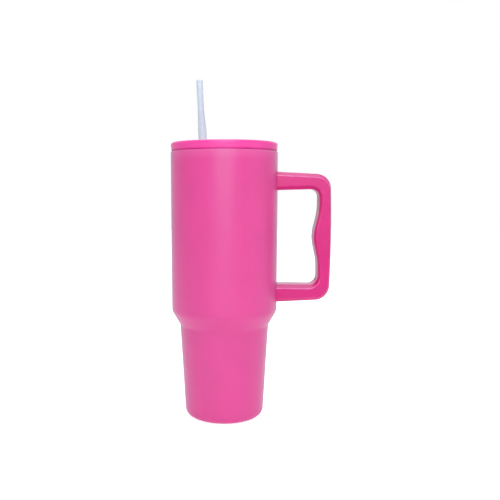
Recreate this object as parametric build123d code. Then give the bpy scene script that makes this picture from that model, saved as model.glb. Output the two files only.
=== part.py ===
from build123d import *
import os
from math import cos, hypot, radians, sin, tan

"""Vacuum-insulated 1.2 litre tumbler with a side handle, a press-in lid and a straw.

The origin is on the vessel's centre line, on the plane it stands on. +Z is up and +X points at the handle.
All sizes are millimetres.
"""

# ---------------------------------------------------------------- vessel
STEEL = 0.5  # thickness of each steel wall
VACUUM_GAP = 3.5  # clear space between the two walls
RIM_Z = 251.8
RIM_RADIUS = 50.25
SHOULDER_TOP = (49.95, 102.15)  # (radius, height) where the wide upper part ends
SHOULDER_BASE = (42.2, 88.7)  # where the tapered cup-holder part begins
HEEL_Z = 0.3  # the heel clears the table, and the foot pad carries the weight
HEEL = (37.0, HEEL_Z)
HEEL_FILLET = 7.4
SHOULDER_TOP_FILLET = 9.2
SHOULDER_BASE_FILLET = 6.1
LIP_FILLET = 1.0
LIP_SEAM_RADIUS = 48.7  # the weld between the two walls, on top of the lip
MOUTH_RADIUS = 47.4
MOUTH_DEPTH = 16.0  # straight part of the mouth that the lid's plug enters
NECK_HEIGHT = 6.0  # below it the liner steps in to the full vacuum gap
NECK_FILLET = 5.0
FLOOR_Z = 8.5
FLOOR_FILLET = 8.0
WALL_PAIR = 2 * STEEL + VACUUM_GAP
CUT = 1.0  # how far a cutting shape runs past the face it opens

# ---------------------------------------------------------------- underside
BASE_OPENING = 27.0
BASE_SEAM_RADIUS = 29.4
BASE_DISH_Z = 4.2
BASE_DISH_RADIUS = 22.0
BASE_FOLD_FILLET = 1.5
EVACUATION_HOLE = 1.0
BEAD_RADIUS = 2.8
BEAD_DEPTH = 1.4
BEAD_FILLET = 1.1
COVER_DISH_Z = 1.5
COVER_FOLD_FILLET = 0.6
COVER_PRESS_GAP = 0.05  # between the cover's edge and the shell it is pressed into
PAD_RECESS = 21.3
PAD_RADIUS = 20.8
PAD_EDGE = 0.4
GETTER_RADIUS = 4.0
GETTER_HEIGHT = 2.2
GETTER_OFFSET = 12.0
GETTER_CHAMFER = 0.5

# ---------------------------------------------------------------- handle
HANDLE_DEPTH = 25.0
HANDLE_WALL = 2.4
HANDLE_BEVEL = (4.0, 3.5, 1.5)  # depth along Y, and how far it cuts in on the arms and on the grip
HANDLE_RIDGE = 1.2  # rounding where the bevel meets the flat face
HANDLE_SHOULDER = 2.5  # rounding where the bevel meets the side
CAVITY_INSETS = (3.4, 2.6)  # from the outline to the hollow, on the arms and on the grip
PARTING_CHAMFER = 0.25  # on both halves, so a fine groove runs where they meet
HANDLE_SEAM_GAP = 0.15  # hairline between the arms and the shell
HANDLE_START = 40.0  # the arms are drawn from inside the vessel and trimmed to it
HANDLE_REGION = ((40.0, 100.0), (120.0, 250.0))  # (x, z) corners of a box round the whole handle
ARM_TOP = ((52.0, 232.9), (86.0, 231.1))
ARM_BOTTOM = ((53.0, 110.9), (84.3, 112.4))
GRIP_OUTER = ((98.9, 217.5), (100.1, 176.0), (98.5, 126.0))
OUTER_CORNER = 14.0
WINDOW_TOP = ((55.0, 216.0), (79.0, 216.7))
WINDOW_BOTTOM = ((54.5, 127.5), (78.0, 127.2))
GRIP_INNER = ((88.7, 205.0), (87.3, 190.7), (83.8, 173.0), (87.0, 152.1), (87.8, 139.0))
WINDOW_TOP_CORNER = 7.3
WINDOW_BOTTOM_CORNER = 8.0

ARM_SCREW_X = 66.0
UPPER_ARM_Z = 224.2
LOWER_ARM_Z = 119.6
CORNER_SCREWS = ((90.2, 221.7), (89.4, 122.6))
BOSS_RADIUS = 3.9
SCREW_RADIUS = 1.5
SCREW_CLEARANCE = 0.25
SCREW_TIP_Y = -7.0
SCREW_HEAD_RADIUS = 2.9
SCREW_HEAD_HEIGHT = 2.2
SCREW_HEAD_FILLET = 0.8
SCREW_CROSS = (1.7, 0.35, 1.1)  # half length, half width and depth of the driver's cross
COUNTERBORE_RADIUS = 3.2
COUNTERBORE_FLOOR_Y = 6.9
PLUG_RADIUS = 3.15
PLUG_THICKNESS = 1.6
PLUG_SINK = 0.1  # the plugs sit this far under the handle's flat face
PLUG_FILLET = 0.4
BRACKET_FOOT = (1.2, 7.8, 5.2)  # thickness, half width along Y, half height along Z
BRACKET_POCKET = (56.0, 0.3)  # far end along X of the room for the foot, and its clearance in height
TONGUE = (1.0, 3.6, 72.0)  # half thickness along Y, half height along Z, far end along X
TONGUE_START = 50.65
TONGUE_FILLET = 2.0

# ---------------------------------------------------------------- lid
LID_GAP = 0.6  # shadow line between the rim and the lid's side
LID_SEAT_RADIUS = 48.7
LID_BOTTOM_RADIUS = 49.5
LID_TOP_RADIUS = 50.3
LID_TOP_Z = 260.0
LID_EDGE = 2.3
LID_RIM_INNER = 44.5
RECESS_RADIUS = 43.5
DECK_Z = 256.6
DECK_THICKNESS = 2.2
PLUG_OUTER = 46.4
SKIRT_INNER = 43.9
SKIRT_BOTTOM_Z = 238.5
GROOVE = (45.0, 241.2, 245.2)  # radius of its floor, lower and upper edge
GASKET_CLEARANCE = 0.03
GASKET_LIPS = ((0.7, 1.1), (3.0, 3.4))  # heights of each lip's edge above the groove
SIP_RADIUS = 35.0
SIP_WIDTH = 8.0
SIP_SPAN = 26.0  # degrees between the centres of the opening's round ends
SIP_ANGLE = -45.0
VENT_RADIUS = 0.9
VENT_PLACE = (30.0, 225.0)  # radius and angle of the vent hole
PIVOT_RADIUS = 3.0
PIVOT_BOSS = (7.0, 2.6)  # radius and depth below the deck
PIN_HEAD_RADIUS = 5.5
PIN_HEAD_DROP = 1.2  # from the top of the grip bar down to the pin's head
PIN_SNAP = (3.8, 1.4)  # radius and height of the barb that holds the pin
PIN_EDGE = 1.0
SEAL_POCKET = (4.7, 1.4)  # radius and depth of the pocket for the ring round the pin
SEAL_CORD = 0.68  # radius of that ring's cord
STOP_PLACE = (12.0, 0.0)
STOP_RADIUS = 1.4
STOP_HEIGHT = 1.2

# ---------------------------------------------------------------- rotating cover
COVER_TURN = 55.0  # degrees from closed to open
COVER_EDGE = 0.6
COVER_PLAY = 0.05  # between the cover's hole and the pin
PIN_WELL_RADIUS = 6.6
COVER_RADIUS = 42.6
COVER_LIFT = 0.1  # running gap over the deck
COVER_THICKNESS = 1.8
COVER_BOTTOM_Z = DECK_Z + COVER_LIFT
COVER_TOP_Z = COVER_BOTTOM_Z + COVER_THICKNESS
STRAW_SLOT_WIDTH = 11.4
GRIP_BAR = (58.0, 8.0, 3.6)  # length, width, height
GRIP_BAR_ANGLE = 20.0
GRIP_BAR_DRAFT = 12.0
GRIP_BAR_EDGE = 1.2
OPENING_MARGIN = 0.5  # the cover's openings are this much larger than the deck's
STOP_GROOVE = (3.2, 1.3)  # width and depth of the groove that runs over the stop
SEAL_MARGIN = 2.4
SEAL_DEPTH = 1.0
SEAL_DROP = 0.06  # the seal's face below the cover's

# ---------------------------------------------------------------- straw
STRAW_LENGTH = 308.0
STRAW_RADIUS = 4.0
STRAW_WALL = 0.8
STRAW_SLANT = 0.0492  # sideways travel for each unit of height, along -X and along +Y
STRAW_PLACE = (-20.5, 20.5)  # where it crosses the deck's top face
STRAW_ANGLE = 135.0  # of that place about the centre line
STRAW_ABOVE_DECK = 64.6  # measured along the straw
MOUTHPIECE = (3.1, 4.75)  # half thickness and half width of the flattened end
MOUTHPIECE_SHIFT = -0.25  # the flattening is deeper on the side that faces the handle
TAPER_START = 14.0
TAPER_END = 39.0
TAPER_LEAD = 3.0  # straight length at each end of the taper
GROMMET_RADIUS = 6.2
GROMMET_FLANGE = 7.8
GROMMET_FLANGE_HEIGHT = 0.9
GROMMET_LOWER = (1.0, 0.6)  # height and chamfer of the flange under the deck
GROMMET_CLEARANCE = 0.03


def turned(curve):
    """Solid of revolution about Z from a closed curve drawn as (radius, height)."""
    return revolve(Plane.XZ * make_face(curve.edges()), Axis.Z)


def sheet_metal(points, radii, side=Side.LEFT):
    """A revolved wall of steel thickness, laid to one side of a filleted line of (radius, height) points."""
    line = FilletPolyline(*points, radius=radii)
    return turned(offset(line, STEEL, side=side))


def disc(radius, z_low, z_high, x=0.0, y=0.0):
    """Upright cylinder between two heights."""
    height = z_high - z_low
    return Pos(x, y, z_low + height / 2) * Cylinder(radius, height)


def rod_y(radius, x, z, y_low, y_high):
    """Cylinder along Y at (x, z)."""
    length = y_high - y_low
    return Pos(x, y_low + length / 2, z) * Rot(90, 0, 0) * Cylinder(radius, length)


def block(low, high):
    """Box between two corners."""
    size = [b - a for a, b in zip(low, high)]
    middle = [(a + b) / 2 for a, b in zip(low, high)]
    return Pos(*middle) * Box(*size)


def polar(radius, degrees):
    return radius * cos(radians(degrees)), radius * sin(radians(degrees))


def kidney(radius, width, start, end, z_low, z_high):
    """Arc-shaped slot about Z with round ends, centred on a radius between two angles."""
    inner = radius - width / 2
    outer = radius + width / 2
    middle = (start + end) / 2
    round_start = polar(width / 2, start - 90)
    round_end = polar(width / 2, end + 90)
    start_cap = tuple(a + b for a, b in zip(polar(radius, start), round_start))
    end_cap = tuple(a + b for a, b in zip(polar(radius, end), round_end))
    outline = (
        ThreePointArc(polar(outer, start), polar(outer, middle), polar(outer, end)).edges()
        + ThreePointArc(polar(outer, end), end_cap, polar(inner, end)).edges()
        + ThreePointArc(polar(inner, end), polar(inner, middle), polar(inner, start)).edges()
        + ThreePointArc(polar(inner, start), start_cap, polar(outer, start)).edges()
    )
    return Pos(0, 0, z_low) * extrude(make_face(outline), z_high - z_low)


def inward_normal(low, high):
    """Unit normal towards the axis for a wall line that rises from low to high, as (radius, height)."""
    dr, dz = high[0] - low[0], high[1] - low[1]
    length = hypot(dr, dz)
    return -dz / length, dr / length


def inset_corner(before, corner, after, distance):
    """The corner of a wall line after both lines that meet there move towards the axis."""
    n1 = inward_normal(before, corner)
    n2 = inward_normal(corner, after)
    scale = distance / (1 + n1[0] * n2[0] + n1[1] * n2[1])
    return corner[0] + scale * (n1[0] + n2[0]), corner[1] + scale * (n1[1] + n2[1])


def inset_radius(low, high, distance, z):
    """Radius at a height of a wall line that has moved towards the axis."""
    n = inward_normal(low, high)
    slope = (high[0] - low[0]) / (high[1] - low[1])
    return low[0] + n[0] * distance + slope * (z - low[1] - n[1] * distance)


# ---------------------------------------------------------------- vessel parts
def outer_shell():
    points = [(BASE_OPENING, HEEL_Z), HEEL, SHOULDER_BASE, SHOULDER_TOP]
    points += [(RIM_RADIUS, RIM_Z), (LIP_SEAM_RADIUS, RIM_Z)]
    radii = (HEEL_FILLET, SHOULDER_BASE_FILLET, SHOULDER_TOP_FILLET, LIP_FILLET)
    return sheet_metal(points, radii)


def inner_liner():
    rim = (RIM_RADIUS, RIM_Z)
    neck_top_z = RIM_Z - MOUTH_DEPTH
    neck_base_z = neck_top_z - NECK_HEIGHT
    points = [
        (0, FLOOR_Z),
        (inset_radius(HEEL, SHOULDER_BASE, WALL_PAIR, FLOOR_Z), FLOOR_Z),
        inset_corner(HEEL, SHOULDER_BASE, SHOULDER_TOP, WALL_PAIR),
        inset_corner(SHOULDER_BASE, SHOULDER_TOP, rim, WALL_PAIR),
        (inset_radius(SHOULDER_TOP, rim, WALL_PAIR, neck_base_z), neck_base_z),
        (MOUTH_RADIUS, neck_top_z),
        (MOUTH_RADIUS, RIM_Z),
        (LIP_SEAM_RADIUS, RIM_Z),
    ]
    radii = (
        FLOOR_FILLET,
        SHOULDER_BASE_FILLET + WALL_PAIR,
        SHOULDER_TOP_FILLET - WALL_PAIR,
        NECK_FILLET,
        NECK_FILLET,
        LIP_FILLET,
    )
    return sheet_metal(points, radii, Side.RIGHT)


def vacuum_base():
    flange_z = HEEL_Z + STEEL
    fold = BASE_DISH_Z - flange_z
    points = [
        (0, BASE_DISH_Z),
        (BASE_DISH_RADIUS, BASE_DISH_Z),
        (BASE_DISH_RADIUS + fold, flange_z),
        (BASE_SEAM_RADIUS, flange_z),
    ]
    hole = disc(EVACUATION_HOLE, BASE_DISH_Z - CUT, BASE_DISH_Z + STEEL + CUT)
    return sheet_metal(points, BASE_FOLD_FILLET) - hole


def seal_bead():
    drop = disc(BEAD_RADIUS, BASE_DISH_Z - BEAD_DEPTH, BASE_DISH_Z)
    drop = fillet(drop.edges().sort_by(Axis.Z)[0], BEAD_FILLET)
    return drop + disc(EVACUATION_HOLE, BASE_DISH_Z, BASE_DISH_Z + STEEL)


def getter():
    top = FLOOR_Z - STEEL
    pill = disc(GETTER_RADIUS, top - GETTER_HEIGHT, top, x=GETTER_OFFSET)
    return chamfer(pill.edges().sort_by(Axis.Z)[0], GETTER_CHAMFER)


def base_cover():
    fold = COVER_DISH_Z - HEEL_Z
    points = [
        (0, COVER_DISH_Z),
        (PAD_RECESS, COVER_DISH_Z),
        (PAD_RECESS + fold, HEEL_Z),
        (BASE_OPENING - COVER_PRESS_GAP, HEEL_Z),
    ]
    return sheet_metal(points, COVER_FOLD_FILLET)


def foot_pad():
    pad = disc(PAD_RADIUS, 0, COVER_DISH_Z)
    return fillet(pad.edges().sort_by(Axis.Z)[0], PAD_EDGE)


# ---------------------------------------------------------------- handle parts
def extended(line, x, rise=0.0):
    """The point at x on the line through two (x, z) points, lifted by a rise."""
    (x1, z1), (x2, z2) = line
    return x, z1 + (z2 - z1) / (x2 - x1) * (x - x1) + rise


def handle_outline(inset=0.0, grip_inset=0.0):
    """Face of the filled loop, out to its outer edge less an inset on the arms and one on the grip."""
    top_grip, bow, bottom_grip = [(x - grip_inset, z) for x, z in GRIP_OUTER]
    top_corner = extended(ARM_TOP, top_grip[0], -inset)
    bottom_corner = extended(ARM_BOTTOM, bottom_grip[0], inset)
    top_start = extended(ARM_TOP, HANDLE_START, -inset)
    bottom_start = extended(ARM_BOTTOM, HANDLE_START, inset)
    edges = (
        Line(top_start, top_corner).edges()
        + ThreePointArc(top_corner, bow, bottom_corner).edges()
        + Polyline(bottom_corner, bottom_start, top_start).edges()
    )
    face = make_face(edges)
    return fillet(face.vertices().sort_by(Axis.X)[-2:], OUTER_CORNER - (inset + grip_inset) / 2)


def window_outline(inset=0.0, grip_inset=0.0):
    """Face of the finger opening grown by the same two insets, with the wave of the grip on its far side."""
    grip = [(x + grip_inset, z) for x, z in GRIP_INNER]
    growth = (inset + grip_inset) / 2
    top_corner = extended(WINDOW_TOP, grip[0][0], inset)
    bottom_corner = extended(WINDOW_BOTTOM, grip[-1][0], -inset)
    top_start = extended(WINDOW_TOP, HANDLE_START, inset)
    bottom_start = extended(WINDOW_BOTTOM, HANDLE_START, -inset)
    edges = (
        Polyline(bottom_start, top_start, top_corner, grip[0]).edges()
        + Spline(*grip, tangents=((0, -1), (0, -1))).edges()
        + Polyline(grip[-1], bottom_corner, bottom_start).edges()
    )
    face = make_face(edges)
    face = fillet(far_corners(face).sort_by(Axis.Y)[-1], WINDOW_TOP_CORNER + growth)
    return fillet(far_corners(face).sort_by(Axis.Y)[0], WINDOW_BOTTOM_CORNER + growth)


def far_corners(face):
    return face.vertices().filter_by(lambda v: v.X > HANDLE_START + 1)


def tapered(outline):
    """A filled outline given its depth, with its front and back edges beveled. outline takes two insets."""
    half = HANDLE_DEPTH / 2
    bevel_depth, arm_inset, grip_inset = HANDLE_BEVEL
    flat = half - bevel_depth
    solid = extrude(Plane.XZ * outline(0), flat, both=True)
    for side in (-1, 1):
        wide = Plane.XZ.offset(side * flat) * outline(0)
        narrow = Plane.XZ.offset(side * half) * outline(arm_inset, grip_inset)
        solid += loft([wide, narrow], ruled=True)
    return solid


def edges_at_depth(solid, depth):
    """The long edges of the loop at a distance in front of and behind its middle plane."""
    return solid.edges().filter_by(
        lambda e: all(abs(abs(v.Y) - depth) < 0.01 for v in e.vertices())
        and e.center().X > HANDLE_START + 0.5
    )


def handle_body():
    """The whole loop as one solid block, trimmed to the vessel."""
    loop = tapered(handle_outline) - tapered(window_outline)
    half = HANDLE_DEPTH / 2
    loop = fillet(edges_at_depth(loop, half), HANDLE_RIDGE)
    loop = fillet(edges_at_depth(loop, half - HANDLE_BEVEL[0]), HANDLE_SHOULDER)
    return loop - vessel_space(HANDLE_SEAM_GAP)


def vessel_space(margin):
    """Everything inside the upper part of the vessel, grown by a margin."""
    base, top = SHOULDER_TOP[1], RIM_Z
    outline = Polyline(
        (0, base), (SHOULDER_TOP[0] + margin, base), (RIM_RADIUS + margin, top), (0, top), close=True
    )
    return turned(outline)


def handle_cavity():
    """The hollow inside the loop, with room for the bracket feet where the arms meet the vessel."""
    outline = handle_outline(*CAVITY_INSETS) - window_outline(*CAVITY_INSETS)
    reach = HANDLE_DEPTH / 2 - HANDLE_WALL
    hollow = extrude(Plane.XZ * outline, reach, both=True)
    far_end, clearance = BRACKET_POCKET
    half_height = BRACKET_FOOT[2] + clearance
    for z in (UPPER_ARM_Z, LOWER_ARM_Z):
        hollow += block((HANDLE_START, -reach, z - half_height), (far_end, reach, z + half_height))
    return hollow


def screw_places():
    """(x, z, half thickness of the bracket tongue there) of each handle screw."""
    places = [(ARM_SCREW_X, UPPER_ARM_Z, TONGUE[0]), (ARM_SCREW_X, LOWER_ARM_Z, TONGUE[0])]
    return places + [(x, z, 0.0) for x, z in CORNER_SCREWS]


def parting_edges(half):
    """The half shell's outside edges where it meets the other half."""
    outlines = (handle_outline().wire(), window_outline().wire())
    found = ShapeList()
    for edge in half.edges():
        middle = edge @ 0.5
        in_plane = max(abs(v.Y) for v in edge.vertices()) < 0.001
        on_outline = any(w.distance_to(Vertex(middle.X, middle.Z, 0)) < 0.01 for w in outlines)
        if in_plane and on_outline:
            found.append(edge)
    return found


def handle_half(body, cavity, front):
    """One of the two half shells, with its screw bosses. The front half is the one on the -Y side."""
    side = -1 if front else 1
    reach = HANDLE_DEPTH / 2
    wall_y = reach - HANDLE_WALL
    (x_low, z_low), (x_high, z_high) = HANDLE_REGION
    half_space = block((x_low, 0, z_low), (x_high, reach + CUT, z_high))
    if front:
        half_space = mirror(half_space, Plane.XZ)
    half = (body - cavity) & half_space
    half = chamfer(parting_edges(half), PARTING_CHAMFER)
    for x, z, tongue in screw_places():
        boss = rod_y(BOSS_RADIUS, x, z, *sorted((side * tongue, side * (wall_y + CUT))))
        half += boss & body
    for x, z, tongue in screw_places():
        if front:
            half -= rod_y(SCREW_RADIUS, x, z, SCREW_TIP_Y, 0)
        else:
            half -= rod_y(SCREW_RADIUS + SCREW_CLEARANCE, x, z, 0, reach)
            half -= rod_y(COUNTERBORE_RADIUS, x, z, COUNTERBORE_FLOOR_Y, reach + CUT)
    return half


def handle_bracket(z):
    """Curved foot welded to the shell, and a tongue that the screw passes through."""
    thickness, half_width, half_height = BRACKET_FOOT
    foot = vessel_space(thickness) - vessel_space(0)
    foot &= block((HANDLE_START, -half_width, z - half_height), (ARM_SCREW_X, half_width, z + half_height))
    half_thickness, tongue_height, far_end = TONGUE
    tongue = block(
        (TONGUE_START, -half_thickness, z - tongue_height), (far_end, half_thickness, z + tongue_height)
    )
    corners = tongue.edges().filter_by(Axis.Y).sort_by(Axis.X)[-2:]
    tongue = fillet(corners, TONGUE_FILLET)
    reach = half_thickness + CUT
    hole = rod_y(SCREW_RADIUS + SCREW_CLEARANCE, ARM_SCREW_X, z, -reach, reach)
    return foot + tongue - hole


def handle_screw(x, z):
    head_y = COUNTERBORE_FLOOR_Y + SCREW_HEAD_HEIGHT
    head = rod_y(SCREW_HEAD_RADIUS, x, z, COUNTERBORE_FLOOR_Y, head_y)
    head = fillet(head.edges().sort_by(Axis.Y)[-1], SCREW_HEAD_FILLET)
    shank = rod_y(SCREW_RADIUS, x, z, SCREW_TIP_Y, COUNTERBORE_FLOOR_Y)
    length, width, depth = SCREW_CROSS
    cross = [
        block((x - dx, head_y - depth, z - dz), (x + dx, head_y + CUT, z + dz))
        for dx, dz in ((length, width), (width, length))
    ]
    return head + shank - cross


def screw_plug(x, z):
    face_y = HANDLE_DEPTH / 2 - PLUG_SINK
    plug = rod_y(PLUG_RADIUS, x, z, face_y - PLUG_THICKNESS, face_y)
    return fillet(plug.edges().sort_by(Axis.Y)[-1], PLUG_FILLET)


# ---------------------------------------------------------------- lid parts
def sip_port(z_low, z_high, angle=SIP_ANGLE, margin=0.0):
    width = SIP_WIDTH + 2 * margin
    return kidney(SIP_RADIUS, width, angle - SIP_SPAN / 2, angle + SIP_SPAN / 2, z_low, z_high)


def lid_body():
    seat_z = RIM_Z + LID_GAP
    deck_bottom = DECK_Z - DECK_THICKNESS
    groove_radius, groove_low, groove_high = GROOVE
    outline = [
        ((0, DECK_Z), 0),
        ((RECESS_RADIUS, DECK_Z), 0.8),
        ((LID_RIM_INNER, LID_TOP_Z), 0.9),
        ((LID_TOP_RADIUS, LID_TOP_Z), LID_EDGE),
        ((LID_BOTTOM_RADIUS, seat_z), 0.25),
        ((LID_SEAT_RADIUS, seat_z), 0),
        ((LID_SEAT_RADIUS, RIM_Z), 0),
        ((PLUG_OUTER, RIM_Z), 0),
        ((PLUG_OUTER, groove_high), 0),
        ((groove_radius, groove_high), 0),
        ((groove_radius, groove_low), 0),
        ((PLUG_OUTER, groove_low), 0),
        ((PLUG_OUTER, SKIRT_BOTTOM_Z), 0.8),
        ((SKIRT_INNER, SKIRT_BOTTOM_Z), 0.8),
        ((SKIRT_INNER, deck_bottom), 2.0),
        ((0, deck_bottom), 0),
    ]
    points = [p for p, _ in outline]
    line = FilletPolyline(*points, radius=[r for _, r in outline], close=True)
    boss_radius, boss_depth = PIVOT_BOSS
    lid = turned(line) + disc(boss_radius, deck_bottom - boss_depth, deck_bottom)
    lid += disc(STOP_RADIUS, DECK_Z, DECK_Z + STOP_HEIGHT, *polar(*STOP_PLACE))
    cut_low, cut_high = deck_bottom - CUT, DECK_Z + CUT
    lid -= sip_port(cut_low, cut_high)
    lid -= disc(VENT_RADIUS, cut_low, cut_high, *polar(*VENT_PLACE))
    lid -= disc(PIVOT_RADIUS, cut_low - boss_depth, cut_high)
    pocket_radius, pocket_depth = SEAL_POCKET
    lid -= disc(pocket_radius, DECK_Z - pocket_depth, cut_high)
    lid -= disc(GROMMET_RADIUS, cut_low, cut_high, *STRAW_PLACE)
    lid -= disc(GROMMET_FLANGE, DECK_Z - GROMMET_FLANGE_HEIGHT, cut_high, *STRAW_PLACE)
    return lid


def lid_gasket():
    """Ring in the plug's groove with two lips that reach the mouth's wall."""
    groove_radius, low, high = GROOVE
    reach = MOUTH_RADIUS - GASKET_CLEARANCE
    lower_lip, upper_lip = [[(reach, low + rise) for rise in lip] for lip in GASKET_LIPS]
    outline = Polyline(
        (groove_radius, low),
        (PLUG_OUTER, low),
        *lower_lip,
        (PLUG_OUTER, (low + high) / 2),
        *upper_lip,
        (PLUG_OUTER, high),
        (groove_radius, high),
        close=True,
    )
    return turned(outline)


def straw_plane():
    """Frame whose origin is where the straw crosses the deck and whose Z runs up the straw."""
    return Plane(
        origin=(*STRAW_PLACE, DECK_Z), x_dir=(1, 0, STRAW_SLANT), z_dir=(-STRAW_SLANT, STRAW_SLANT, 1)
    )


def straw_grommet():
    deck_bottom = DECK_Z - DECK_THICKNESS
    ring = disc(GROMMET_RADIUS, deck_bottom, DECK_Z, *STRAW_PLACE)
    ring += disc(GROMMET_FLANGE, DECK_Z - GROMMET_FLANGE_HEIGHT, DECK_Z, *STRAW_PLACE)
    lower_height, lower_chamfer = GROMMET_LOWER
    lower = disc(GROMMET_FLANGE, deck_bottom - lower_height, deck_bottom, *STRAW_PLACE)
    ring += chamfer(lower.edges().sort_by(Axis.Z)[0], lower_chamfer)
    bore = straw_plane() * Cylinder(STRAW_RADIUS + GROMMET_CLEARANCE, 2 * GROMMET_FLANGE)
    return ring - bore


def pivot_pin():
    boss_bottom = DECK_Z - DECK_THICKNESS - PIVOT_BOSS[1]
    head_bottom = COVER_TOP_Z + COVER_LIFT
    shank = disc(PIVOT_RADIUS, boss_bottom, head_bottom)
    head = disc(PIN_HEAD_RADIUS, head_bottom, COVER_TOP_Z + GRIP_BAR[2] - PIN_HEAD_DROP)
    head = fillet(head.edges().sort_by(Axis.Z)[-1], PIN_EDGE)
    snap_radius, snap_height = PIN_SNAP
    snap = disc(snap_radius, boss_bottom - snap_height, boss_bottom)
    snap = chamfer(snap.edges().sort_by(Axis.Z)[0], PIN_EDGE)
    return shank + head + snap


def pivot_seal():
    return Pos(0, 0, DECK_Z - SEAL_POCKET[1] + SEAL_CORD) * Torus(PIVOT_RADIUS + SEAL_CORD, SEAL_CORD)


# ---------------------------------------------------------------- rotating cover parts
def grip_bar():
    """The raised bar that a finger turns the cover by."""
    length, width, height = GRIP_BAR
    bar = extrude(SlotOverall(length, width), height, taper=GRIP_BAR_DRAFT)
    bar = fillet(bar.edges().sort_by(Axis.Z)[-4:], GRIP_BAR_EDGE)
    return Pos(0, 0, COVER_TOP_Z) * Rot(0, 0, GRIP_BAR_ANGLE) * bar


def rotating_cover():
    """Drawn closed: turned forward by COVER_TURN, its sip and vent openings come over those of the deck."""
    plate = disc(COVER_RADIUS, COVER_BOTTOM_Z, COVER_TOP_Z)
    plate = fillet(plate.edges().sort_by(Axis.Z)[-1], COVER_EDGE)
    cover = plate + grip_bar()
    cut_low = COVER_BOTTOM_Z - CUT
    cut_high = COVER_TOP_Z + GRIP_BAR[2] + CUT
    cover -= disc(PIN_WELL_RADIUS, COVER_TOP_Z, cut_high)
    cover -= disc(PIVOT_RADIUS + COVER_PLAY, cut_low, cut_high)
    straw_turn = (STRAW_ANGLE - COVER_TURN, STRAW_ANGLE)
    cover -= kidney(hypot(*STRAW_PLACE), STRAW_SLOT_WIDTH, *straw_turn, cut_low, cut_high)
    cover -= sip_port(cut_low, cut_high, SIP_ANGLE - COVER_TURN, OPENING_MARGIN)
    vent_radius, vent_angle = VENT_PLACE
    vent_place = polar(vent_radius, vent_angle - COVER_TURN)
    cover -= disc(VENT_RADIUS + OPENING_MARGIN, cut_low, cut_high, *vent_place)
    stop_radius, stop_angle = STOP_PLACE
    groove_width, groove_depth = STOP_GROOVE
    stop_turn = (stop_angle - COVER_TURN, stop_angle)
    cover -= kidney(stop_radius, groove_width, *stop_turn, cut_low, COVER_BOTTOM_Z + groove_depth)
    return cover - sip_port(cut_low, COVER_BOTTOM_Z + SEAL_DEPTH, margin=SEAL_MARGIN)


def cover_seal():
    """Pad under the closed cover that presses on the deck round the sip opening."""
    return sip_port(COVER_BOTTOM_Z - SEAL_DROP, COVER_BOTTOM_Z + SEAL_DEPTH, margin=SEAL_MARGIN)


# ---------------------------------------------------------------- straw
def straw_skin(inset):
    """Solid outline of the straw, grown inwards by an inset: a round tube that flattens near its top."""
    radius = STRAW_RADIUS - inset
    half_thickness, half_width = MOUTHPIECE[0] - inset, MOUTHPIECE[1] - inset
    bottom = STRAW_ABOVE_DECK - STRAW_LENGTH
    tube = extrude(Pos(0, 0, bottom) * Circle(radius), TAPER_START - bottom)
    flat = Pos(MOUTHPIECE_SHIFT, 0, 0) * Ellipse(half_thickness, half_width)
    taper = loft(
        [
            Pos(0, 0, TAPER_START) * Circle(radius),
            Pos(0, 0, TAPER_START + TAPER_LEAD) * Circle(radius),
            Pos(0, 0, TAPER_END - TAPER_LEAD) * flat,
            Pos(0, 0, TAPER_END) * flat,
        ]
    )
    mouth = extrude(Pos(0, 0, TAPER_END) * flat, STRAW_ABOVE_DECK - TAPER_END)
    return tube + taper + mouth


def straw():
    return straw_plane() * (straw_skin(0) - straw_skin(STRAW_WALL))


def main():
    os.makedirs("parts", exist_ok=True)
    body, cavity = handle_body(), handle_cavity()
    parts = {
        "outer_shell": outer_shell(),
        "inner_liner": inner_liner(),
        "vacuum_base": vacuum_base(),
        "seal_bead": seal_bead(),
        "getter": getter(),
        "base_cover": base_cover(),
        "foot_pad": foot_pad(),
        "handle_front": handle_half(body, cavity, front=True),
        "handle_back": handle_half(body, cavity, front=False),
        "upper_bracket": handle_bracket(UPPER_ARM_Z),
        "lower_bracket": handle_bracket(LOWER_ARM_Z),
        "handle_screws": Compound([handle_screw(x, z).solid() for x, z, _ in screw_places()]),
        "screw_plugs": Compound([screw_plug(x, z).solid() for x, z, _ in screw_places()]),
        "lid_body": lid_body(),
        "lid_gasket": lid_gasket(),
        "straw_grommet": straw_grommet(),
        "pivot_pin": pivot_pin(),
        "pivot_seal": pivot_seal(),
        "rotating_cover": rotating_cover(),
        "cover_seal": cover_seal(),
        "straw": straw(),
    }
    for name, shape in parts.items():
        export_step(shape, f"parts/{name}.step")


main()
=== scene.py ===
"""Looks, studio and camera for the insulated tumbler. All sizes are metres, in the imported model's frame."""

from math import radians

import bpy
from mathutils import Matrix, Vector


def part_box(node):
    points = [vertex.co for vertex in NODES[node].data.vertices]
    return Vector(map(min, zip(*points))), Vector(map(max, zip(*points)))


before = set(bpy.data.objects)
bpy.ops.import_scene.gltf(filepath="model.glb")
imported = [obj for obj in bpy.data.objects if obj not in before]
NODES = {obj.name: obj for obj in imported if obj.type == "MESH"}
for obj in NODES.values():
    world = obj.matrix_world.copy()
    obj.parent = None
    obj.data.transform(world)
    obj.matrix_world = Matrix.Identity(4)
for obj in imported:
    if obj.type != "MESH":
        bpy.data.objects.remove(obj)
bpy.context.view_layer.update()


def top_of(node):
    """Height of a node's highest point."""
    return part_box(node)[1][2]


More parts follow.
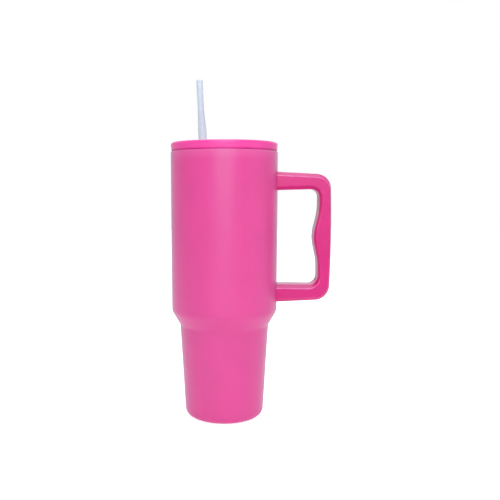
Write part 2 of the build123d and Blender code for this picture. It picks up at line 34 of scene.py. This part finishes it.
# ---------------------------------------------------------------- where wear, painted highlights and painted shade lie
# Each pair below is the place of full effect, then the place of none.
RIM = top_of("outer_shell")
LID_TOP = top_of("lid_body")
COVER_TOP = top_of("rotating_cover")
# painted highlight on the lip's rounded edge
LIP_HIGHLIGHT = (RIM - 0.0003, RIM - 0.0088)
HEEL_SCUFF = (0.0006, 0.006)
# painted shade in the groove between the lid and the rim
SEAM_SHADE = (RIM + 0.0008, RIM + 0.0020)
# painted highlight on the lid's top edge and the finger bar's upper edge
LID_EDGE_BELOW = (LID_TOP - 0.0002, LID_TOP - 0.0010)
LID_EDGE_ABOVE = (LID_TOP + 0.0004, LID_TOP + 0.0010)
BAR_HIGHLIGHT = (COVER_TOP + 0.0001, COVER_TOP - 0.0007)
STRAW_ABOVE_LID = (LID_TOP + 0.002, LID_TOP + 0.030)
STRAW_BELOW_LID = (LID_TOP + 0.002, LID_TOP - 0.010)
# where the painted shade of the handle's arms lies on the coat
ARM_SHADE_RISE = (0.0070, 0.0105)  # above or below the middle of an arm
ARM_SHADE_X = (0.0486, 0.0445)  # from an arm's root, away round the shell
ARM_SHADE_MOST = 0.85

# ---------------------------------------------------------------- colours (linear)
WHITE = (1.0, 1.0, 1.0)
BODY_PINK = (0.706, 0.053, 0.282)
HANDLE_PINK = (0.63, 0.0005, 0.180)
LID_PINK = (0.835, 0.047, 0.336)
PAD_PINK = (0.42, 0.03, 0.17)
EDGE_HIGHLIGHT_PINK = (0.80, 0.22, 0.50)  # painted highlight along ridges and edges where light catches them, also pale rubbing of paint and plastic
SCUFF_PINK = (0.72, 0.35, 0.50)
ARM_SHADE_PINK = (0.76, 0.022, 0.240)  # deeper pink painted beside the handle's arms as their shade and pink reflection on the coat
# deep pink painted in the lid's seam as shade
SEAM_SHADE_PINK = (0.72, 0.0, 0.26)
# dust together with painted sheen of light from above on up-facing faces
DUST_AND_SHEEN = (0.52, 0.30, 0.46)
STEEL_GREY = (0.88, 0.87, 0.86)
SILICONE = (0.78, 0.78, 0.76)
COOL_SHINE = (0.1, 1.0, 1.0)  # the pink finishes shine a little cooler than white
COOL_SHEEN = (0.25, 0.88, 0.98)
STRAW_BLUE = (0.652, 0.782, 0.892)
STRAW_BLUE_LOW = (0.68, 0.92, 0.99)  # bluer just over the grommet, fading away above and below
GLASS_TINTS = ((0.20, 0.27, 0.25), (0.30, 0.36, 0.33))
SINTER_GREYS = ((0.10, 0.10, 0.11), (0.22, 0.22, 0.23))
FLOOR_WHITES = ((0.90, 0.90, 0.90), (0.92, 0.92, 0.92))

# ---------------------------------------------------------------- texture scales, in features per metre
COAT_MOTTLE = 28.0
COAT_GRAINS = 1500.0
COAT_SCRATCHES = (200.0, 200.0, 900.0)  # along X, Y and Z, as in the other triples
COAT_GLOSS = 420.0
COAT_PEEL = 1200.0
COAT_WAVES = 260.0
PLASTIC_FLOW = (30.0, 30.0, 75.0)
PLASTIC_PATCHES = 130.0
PLASTIC_GLOSS = 90.0
HANDLE_GRAIN = 1900.0
LID_GRAIN = 2300.0
STEEL_LINES = (18.0, 18.0, 3200.0)
STEEL_CLOUDS = 35.0
SILICONE_DUST = 320.0
SILICONE_GRAIN = 900.0
STRAW_LINES = (900.0, 900.0, 6.0)
GLASS_CLOUDS = 500.0
GLASS_GLOSS = 300.0
GLASS_RIPPLE = 400.0
SINTER_GRAINS = 3000.0
PAPER_CLOUDS = 3.0

# ---------------------------------------------------------------- roughness, from smoothest to roughest
COAT_ROUGHNESS = (0.32, 0.39)
PLASTIC_ROUGHNESS = (0.30, 0.39)
TURNED_ROUGHNESS = (0.24, 0.38)
DULL_ROUGHNESS = (0.30, 0.44)
SILICONE_ROUGHNESS = (0.55, 0.7)
STRAW_ROUGHNESS = (0.44, 0.54)
GLASS_ROUGHNESS = (0.08, 0.18)
SINTER_ROUGHNESS = (0.5, 0.75)
PAPER_ROUGHNESS = 0.9

# ---------------------------------------------------------------- ranges used by more than one material
NOISE_SPREAD = (0.3, 0.7)  # most of a noise's values lie between these
UNIT = (0.0, 1.0)
FALLING = (1.0, 0.0)

# ---------------------------------------------------------------- studio
CAMERA_PLACE = (0.0, -0.6235, 0.216)
CAMERA_TILT = 5.25  # degrees down from level
CAMERA_LENS = 47.35
CAMERA_SENSOR = 36.0
CAMERA_SHIFT = (0.0514, 0.001)
CAMERA_NEAR = 0.01
WORLD_FRONT = 0.45
WORLD_BACK = 0.70
WORLD_TURN = (0.0, 0.9)  # the world's strength rises between these values of a ray's Y
FLOOR_HALF = 3.0
FLOOR_GLOW = 0.8  # what the camera sees
FLOOR_BOUNCE = 0.18  # what the object sees
LIGHT_AIM = (0.0, 0.0, 0.13)
LIGHTS = (  # name, place, width and height, watts
    ("key_softbox", (0.1, -0.9, 1.3), (0.3, 0.3), 3.0),
    ("front_strip", (0.0, -1.3, 0.42), (0.85, 0.15), 4.8),
    ("top_softbox", (0.0, 0.0, 1.3), (1.0, 1.0), 3.4),
    ("overhead_strip", (0.0, -0.32, 1.3), (0.5, 0.2), 4.0),
    ("back_softbox", (0.2, 1.3, 0.7), (1.0, 1.0), 1.6),
    ("right_softbox", (1.2, -0.4, 0.5), (0.8, 1.0), 1.0),
)


class Tree:
    """Small helper that adds nodes to a material's tree and links them."""

    def __init__(self, name):
        self.material = bpy.data.materials.new(name)
        self.material.use_nodes = True
        self.nodes = self.material.node_tree.nodes
        self.links = self.material.node_tree.links
        self.shader = self.nodes["Principled BSDF"]
        coords = self.nodes.new("ShaderNodeTexCoord")
        self.coords = coords.outputs["Object"]
        self.normal = coords.outputs["Normal"]

    def link(self, source, target):
        self.links.new(source, target)

    def stretched(self, scale):
        """The object's coordinates times a scale for each axis."""
        node = self.nodes.new("ShaderNodeMapping")
        node.inputs["Scale"].default_value = scale
        self.link(self.coords, node.inputs["Vector"])
        return node.outputs["Vector"]

    def noise(self, scale, detail=2.0, roughness=0.5):
        """Noise of one scale each way, or of a scale for each axis."""
        node = self.nodes.new("ShaderNodeTexNoise")
        even = isinstance(scale, float)
        node.inputs["Scale"].default_value = scale if even else 1.0
        node.inputs["Detail"].default_value = detail
        node.inputs["Roughness"].default_value = roughness
        self.link(self.coords if even else self.stretched(scale), node.inputs["Vector"])
        return node.outputs["Fac"]

    def speckle(self, scale):
        node = self.nodes.new("ShaderNodeTexVoronoi")
        node.inputs["Scale"].default_value = scale
        self.link(self.coords, node.inputs["Vector"])
        return node.outputs["Distance"]

    def part_of(self, vector, axis):
        node = self.nodes.new("ShaderNodeSeparateXYZ")
        self.link(vector, node.inputs["Vector"])
        return node.outputs[axis]

    def ranged(self, value, source, target):
        """Carries the values of one range over to another, and clips them there."""
        node = self.nodes.new("ShaderNodeMapRange")
        for name, number in zip(("From Min", "From Max", "To Min", "To Max"), (*source, *target)):
            node.inputs[name].default_value = number
        self.link(value, node.inputs["Value"])
        return node.outputs["Result"]

    def maths(self, kind, a, b):
        node = self.nodes.new("ShaderNodeMath")
        node.operation = kind
        for socket, value in zip(node.inputs, (a, b)):
            if isinstance(value, float):
                socket.default_value = value
            else:
                self.link(value, socket)
        return node.outputs["Value"]

    def product(self, a, b):
        return self.maths("MULTIPLY", a, b)

    def magnitude(self, value):
        return self.maths("ABSOLUTE", value, 0.0)

    def mixed(self, factor, a, b):
        """Colour a where the factor is 0 and colour b where it is 1."""
        node = self.nodes.new("ShaderNodeMix")
        node.data_type = "RGBA"
        self.link(factor, node.inputs["Factor"])
        colour_a, colour_b = node.inputs[6], node.inputs[7]
        for socket, value in ((colour_a, a), (colour_b, b)):
            if isinstance(value, tuple):
                socket.default_value = (*value, 1.0)
            else:
                self.link(value, socket)
        colour_out = node.outputs[2]
        return colour_out

    def bump(self, height, strength, distance, below=None):
        node = self.nodes.new("ShaderNodeBump")
        node.inputs["Strength"].default_value = strength
        node.inputs["Distance"].default_value = distance
        self.link(height, node.inputs["Height"])
        if below is not None:
            self.link(below, node.inputs["Normal"])
        return node.outputs["Normal"]

    def set(self, name, value):
        socket = self.shader.inputs[name]
        if isinstance(value, float):
            socket.default_value = value
        elif isinstance(value, tuple):
            socket.default_value = (*value, 1.0)
        else:
            self.link(value, socket)

    def set_subsurface(self, weight, radius):
        self.set("Subsurface Weight", weight)
        self.shader.inputs["Subsurface Radius"].default_value = radius

    def set_sheen(self, weight, roughness):
        self.set("Sheen Weight", weight)
        self.set("Sheen Roughness", roughness)
        self.set("Sheen Tint", COOL_SHEEN)


def scaled(colour, factor):
    return tuple(min(1.0, c * factor) for c in colour)


# ---------------------------------------------------------------- masks: where wear, dust, painted highlights and painted shade lie
def height_mask(tree, heights):
    """1 at the first height and 0 at the second, from the object's own Z."""
    full, none = heights
    return tree.ranged(tree.part_of(tree.coords, "Z"), (none, full), UNIT)


def ridge_highlight_mask(tree):
    """Painted highlight: 1 on the handle's rounded ridges, where the surface turns from the flat face to the
    bevel, strongest where they face up to the light.
    """
    lean = tree.magnitude(tree.part_of(tree.normal, "Y"))
    off_bevel = tree.ranged(lean, (0.66, 0.76), UNIT)
    off_flat = tree.ranged(lean, (0.975, 0.995), FALLING)
    lit_from_above = tree.ranged(tree.part_of(tree.normal, "Z"), (0.0, 0.25), (0.1, 1.0))
    return tree.product(tree.product(off_bevel, off_flat), lit_from_above)


def lid_edge_highlight_mask(tree):
    """Painted highlight: 1 on the lid's top edge and on the finger bar's upper edge, where light from above
    catches them.
    """
    edge = tree.product(height_mask(tree, LID_EDGE_BELOW), height_mask(tree, LID_EDGE_ABOVE))
    return tree.maths("MAXIMUM", edge, height_mask(tree, BAR_HIGHLIGHT))


def seam_shade_mask(tree):
    """Painted shade: 1 at the lid's lower edge, a deep pink line for the shade in the groove over the
    vessel's rim.
    """
    return height_mask(tree, SEAM_SHADE)


def arm_shade_mask(tree):
    """Near 1 on the coat beside the handle's arms, where the arms' shade and pink reflection are painted on.
    """
    height = tree.part_of(tree.coords, "Z")
    level = 0.0
    for bracket in ("upper_bracket", "lower_bracket"):
        low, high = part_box(bracket)
        arm_middle = (low[2] + high[2]) / 2
        away = tree.magnitude(tree.maths("SUBTRACT", height, arm_middle))
        level = tree.maths("MAXIMUM", tree.ranged(away, ARM_SHADE_RISE, FALLING), level)
    root, end = ARM_SHADE_X
    beside = tree.ranged(tree.part_of(tree.coords, "X"), (end, root), (0.0, ARM_SHADE_MOST))
    return tree.product(level, beside)


def dust_and_sheen_mask(tree, flow, amount):
    """Dust and painted sheen: rises to the amount where the surface faces up to the light, a little patchy
    with the flow marks.
    """
    facing_up = tree.ranged(tree.part_of(tree.normal, "Z"), (0.55, 0.80), (0.0, amount))
    return tree.product(facing_up, tree.ranged(flow, NOISE_SPREAD, (0.8, 1.0)))


# ---------------------------------------------------------------- materials
def powder_coat_colour(tree, arm_shade):
    mottle = tree.ranged(tree.noise(COAT_MOTTLE, detail=3.0), NOISE_SPREAD, UNIT)
    colour = tree.mixed(mottle, scaled(BODY_PINK, 0.97), scaled(BODY_PINK, 1.03))
    grains = tree.ranged(tree.speckle(COAT_GRAINS), (0.0, 0.5), (0.5, 0.0))
    colour = tree.mixed(grains, colour, scaled(BODY_PINK, 0.84))
    scratches = tree.noise(COAT_SCRATCHES, detail=6.0, roughness=0.7)
    scuffs = tree.product(tree.ranged(scratches, (0.56, 0.66), (0.0, 0.6)), height_mask(tree, HEEL_SCUFF))
    colour = tree.mixed(scuffs, colour, SCUFF_PINK)
    # painted highlight on the lip's rounded edge, where light from above catches it
    lip_highlight = tree.product(height_mask(tree, LIP_HIGHLIGHT), tree.ranged(mottle, UNIT, (0.18, 0.26)))
    colour = tree.mixed(lip_highlight, colour, EDGE_HIGHLIGHT_PINK)
    # painted shade and pink reflection of the handle's arms on the coat beside them
    return tree.mixed(arm_shade, colour, ARM_SHADE_PINK)


def powder_coat():
    """Matte powder coat: fine orange peel, faint mottling, light scuffs round the heel, a painted highlight
    on the lip and painted shade beside the handle's arms.
    """
    tree = Tree("pink_powder_coat")
    arm_shade = arm_shade_mask(tree)
    tree.set("Base Color", powder_coat_colour(tree, arm_shade))
    tree.set("Roughness", tree.ranged(tree.noise(COAT_GLOSS), NOISE_SPREAD, COAT_ROUGHNESS))
    # the painted arm shade also takes most of the shine and sheen away there
    tree.set("Specular IOR Level", tree.ranged(arm_shade, UNIT, (0.5, 0.1)))
    tree.set("Specular Tint", COOL_SHINE)
    tree.set_sheen(tree.ranged(arm_shade, UNIT, (0.3, 0.0)), roughness=0.35)
    peel = tree.bump(tree.noise(COAT_PEEL), strength=1.0, distance=0.00009)
    waves = tree.bump(tree.noise(COAT_WAVES, detail=1.0), strength=0.2, distance=0.00010, below=peel)
    tree.set("Normal", waves)
    return tree.material


def moulded_plastic(name, pink, grain, sheen, shine, dust, edge_highlight, painted_shade=None):
    """Satin injection-moulded plastic: fine grain, faint flow marks, a painted highlight where the edge mask
    says, dust with painted sheen on up-facing faces, and painted shade in a seam if asked.
    """
    tree = Tree(name)
    flow = tree.noise(PLASTIC_FLOW, detail=3.0)
    colour = tree.mixed(tree.ranged(flow, NOISE_SPREAD, UNIT), scaled(pink, 0.96), scaled(pink, 1.04))
    patchy = tree.ranged(tree.noise(PLASTIC_PATCHES, detail=4.0), NOISE_SPREAD, (0.5, 1.0))
    # painted highlight along the edges that the mask picks, a little patchy
    colour = tree.mixed(tree.product(edge_highlight(tree), patchy), colour, EDGE_HIGHLIGHT_PINK)
    # dust together with painted sheen on faces turned up to the light
    colour = tree.mixed(dust_and_sheen_mask(tree, flow, dust), colour, DUST_AND_SHEEN)
    # painted shade: a deep pink line where the mask picks a seam
    if painted_shade is not None:
        colour = tree.mixed(painted_shade(tree), colour, SEAM_SHADE_PINK)
    tree.set("Base Color", colour)
    tree.set("Specular IOR Level", shine)
    tree.set("Specular Tint", COOL_SHINE)
    tree.set_sheen(sheen, roughness=0.25)
    tree.set("Coat Weight", 0.1)
    tree.set("Coat Roughness", 0.22)
    gloss = tree.noise(PLASTIC_GLOSS, detail=3.0)
    tree.set("Roughness", tree.ranged(gloss, NOISE_SPREAD, PLASTIC_ROUGHNESS))
    tree.set("Normal", tree.bump(tree.noise(grain), strength=0.7, distance=0.00004))
    return tree.material


def turned_steel(name, roughness):
    """Stainless steel with fine lines round the centre line."""
    tree = Tree(name)
    lines = tree.noise(STEEL_LINES, detail=3.0)
    clouds = tree.ranged(tree.noise(STEEL_CLOUDS, detail=3.0), NOISE_SPREAD, UNIT)
    tree.set("Base Color", tree.mixed(clouds, scaled(STEEL_GREY, 0.92), STEEL_GREY))
    tree.set("Metallic", 1.0)
    tree.set("Roughness", tree.ranged(lines, NOISE_SPREAD, roughness))
    tree.set("Normal", tree.bump(lines, strength=0.12, distance=0.00003))
    return tree.material


def silicone(name, colour):
    """Soft rubber with a trace of pale dust."""
    tree = Tree(name)
    dust = tree.noise(SILICONE_DUST, detail=4.0)
    dusty = tree.ranged(dust, (0.4, 0.8), UNIT)
    tree.set("Base Color", tree.mixed(dusty, colour, scaled(colour, 1.12)))
    tree.set("Roughness", tree.ranged(dust, NOISE_SPREAD, SILICONE_ROUGHNESS))
    tree.set_subsurface(0.08, radius=(0.002, 0.0015, 0.0015))
    tree.set("Normal", tree.bump(tree.noise(SILICONE_GRAIN), strength=0.15, distance=0.00005))
    return tree.material


def straw_plastic():
    """Frosted translucent tube with faint lines drawn along it."""
    tree = Tree("frosted_plastic")
    lines = tree.noise(STRAW_LINES)
    colour = tree.mixed(tree.ranged(lines, NOISE_SPREAD, UNIT), scaled(STRAW_BLUE, 0.97), STRAW_BLUE)
    band = tree.product(height_mask(tree, STRAW_ABOVE_LID), height_mask(tree, STRAW_BELOW_LID))
    tree.set("Base Color", tree.mixed(band, colour, STRAW_BLUE_LOW))
    tree.set("Roughness", tree.ranged(lines, NOISE_SPREAD, STRAW_ROUGHNESS))
    tree.set("Specular IOR Level", 0.3)
    tree.set("Transmission Weight", 0.12)
    tree.set_subsurface(0.3, radius=(0.003, 0.003, 0.004))
    tree.set("Normal", tree.bump(lines, strength=0.08, distance=0.00003))
    return tree.material


def bead_glass():
    """Slightly cloudy solder glass."""
    tree = Tree("bead_glass")
    tree.set("Base Color", tree.mixed(tree.noise(GLASS_CLOUDS), *GLASS_TINTS))
    tree.set("Roughness", tree.ranged(tree.noise(GLASS_GLOSS), NOISE_SPREAD, GLASS_ROUGHNESS))
    tree.set("Transmission Weight", 0.5)
    tree.set("Normal", tree.bump(tree.noise(GLASS_RIPPLE), strength=0.2, distance=0.00005))
    return tree.material


def sintered_metal():
    """Dark pressed metal powder."""
    tree = Tree("sintered_metal")
    grains = tree.speckle(SINTER_GRAINS)
    across_grain = (0.0, 0.6)
    tree.set("Base Color", tree.mixed(tree.ranged(grains, across_grain, UNIT), *SINTER_GREYS))
    tree.set("Metallic", 0.8)
    tree.set("Roughness", tree.ranged(grains, across_grain, SINTER_ROUGHNESS))
    tree.set("Normal", tree.bump(grains, strength=0.5, distance=0.0001))
    return tree.material


def dress(material, *names):
    """Gives carried-over nodes their material."""
    for name in names:
        slots = NODES[name].data.materials
        slots.clear()
        slots.append(material)


def build_looks():
    handle = moulded_plastic(
        "satin_handle", HANDLE_PINK, grain=HANDLE_GRAIN, sheen=0.5, shine=0.41, dust=0.3, edge_highlight=ridge_highlight_mask
    )
    lid = moulded_plastic(
        "satin_lid", LID_PINK, grain=LID_GRAIN, sheen=0.2, shine=0.5, dust=0.12, edge_highlight=lid_edge_highlight_mask,
        painted_shade=seam_shade_mask
    )
    steel = turned_steel("turned_steel", TURNED_ROUGHNESS)
    dress(powder_coat(), "outer_shell")
    dress(handle, "handle_front", "handle_back", "screw_plugs")
    dress(lid, "lid_body", "rotating_cover", "pivot_pin")
    dress(steel, "inner_liner", "vacuum_base", "base_cover", "upper_bracket", "lower_bracket")
    dress(turned_steel("dull_steel", DULL_ROUGHNESS), "handle_screws")
    dress(silicone("clear_silicone", SILICONE), "lid_gasket", "straw_grommet", "pivot_seal", "cover_seal")
    dress(silicone("pink_silicone", PAD_PINK), "foot_pad")
    dress(straw_plastic(), "straw")
    dress(bead_glass(), "seal_bead")
    dress(sintered_metal(), "getter")


# ---------------------------------------------------------------- studio
def add_object(name, data):
    thing = bpy.data.objects.new(name, data)
    bpy.context.scene.collection.objects.link(thing)
    return thing


def direction(place, aim):
    return (Vector(aim) - Vector(place)).to_track_quat("-Z", "Y").to_euler()


def build_light(name, place, size, watts):
    data = bpy.data.lights.new(name, "AREA")
    data.shape = "RECTANGLE"
    data.size, data.size_y = size
    data.energy = watts
    lamp = add_object(name, data)
    lamp.location = place
    lamp.rotation_euler = direction(place, LIGHT_AIM)


def build_world():
    """Plain white to the camera; to the object, a studio that is brighter behind it than in front."""
    world = bpy.data.worlds.new("studio")
    bpy.context.scene.world = world
    world.use_nodes = True
    nodes, links = world.node_tree.nodes, world.node_tree.links
    nodes.clear()
    coords = nodes.new("ShaderNodeTexCoord")
    parts = nodes.new("ShaderNodeSeparateXYZ")
    links.new(coords.outputs["Generated"], parts.inputs["Vector"])
    strength = nodes.new("ShaderNodeMapRange")
    span = (*WORLD_TURN, WORLD_FRONT, WORLD_BACK)
    for name, value in zip(("From Min", "From Max", "To Min", "To Max"), span):
        strength.inputs[name].default_value = value
    links.new(parts.outputs["Y"], strength.inputs["Value"])
    path = nodes.new("ShaderNodeLightPath")
    to_object = nodes.new("ShaderNodeBackground")
    to_object.inputs["Color"].default_value = (*WHITE, 1.0)
    links.new(strength.outputs["Result"], to_object.inputs["Strength"])
    to_camera = nodes.new("ShaderNodeBackground")
    to_camera.inputs["Color"].default_value = (*WHITE, 1.0)
    to_camera.inputs["Strength"].default_value = 1.0
    mix = nodes.new("ShaderNodeMixShader")
    links.new(path.outputs["Is Camera Ray"], mix.inputs["Fac"])
    links.new(to_object.outputs["Background"], mix.inputs[1])
    links.new(to_camera.outputs["Background"], mix.inputs[2])
    out = nodes.new("ShaderNodeOutputWorld")
    links.new(mix.outputs["Shader"], out.inputs["Surface"])


def floor_paper():
    """Pale paper that glows enough for the camera to see it as white."""
    tree = Tree("floor_paper")
    tree.set("Base Color", tree.mixed(tree.noise(PAPER_CLOUDS), *FLOOR_WHITES))
    tree.set("Roughness", PAPER_ROUGHNESS)
    tree.set("Emission Color", WHITE)
    seen = tree.nodes.new("ShaderNodeLightPath").outputs["Is Camera Ray"]
    tree.set("Emission Strength", tree.ranged(seen, UNIT, (FLOOR_BOUNCE, FLOOR_GLOW)))
    return tree.material


def build_floor():
    """A plain pale floor that runs out to the white background."""
    corners = [(x * FLOOR_HALF, y * FLOOR_HALF, 0) for x, y in ((-1, -1), (1, -1), (1, 1), (-1, 1))]
    mesh = bpy.data.meshes.new("floor")
    mesh.from_pydata(corners, [], [(0, 1, 2, 3)])
    mesh.materials.append(floor_paper())
    add_object("floor", mesh)


def build_camera():
    data = bpy.data.cameras.new("camera")
    data.lens = CAMERA_LENS
    data.sensor_width = CAMERA_SENSOR
    data.shift_x, data.shift_y = CAMERA_SHIFT
    data.clip_start = CAMERA_NEAR
    camera = add_object("camera", data)
    camera.location = CAMERA_PLACE
    camera.rotation_euler = (radians(90.0 - CAMERA_TILT), 0.0, 0.0)
    bpy.context.scene.camera = camera


def build_studio():
    build_world()
    build_floor()
    build_camera()
    for light in LIGHTS:
        build_light(*light)
    bpy.context.scene.view_settings.view_transform = "Standard"


build_looks()
build_studio()
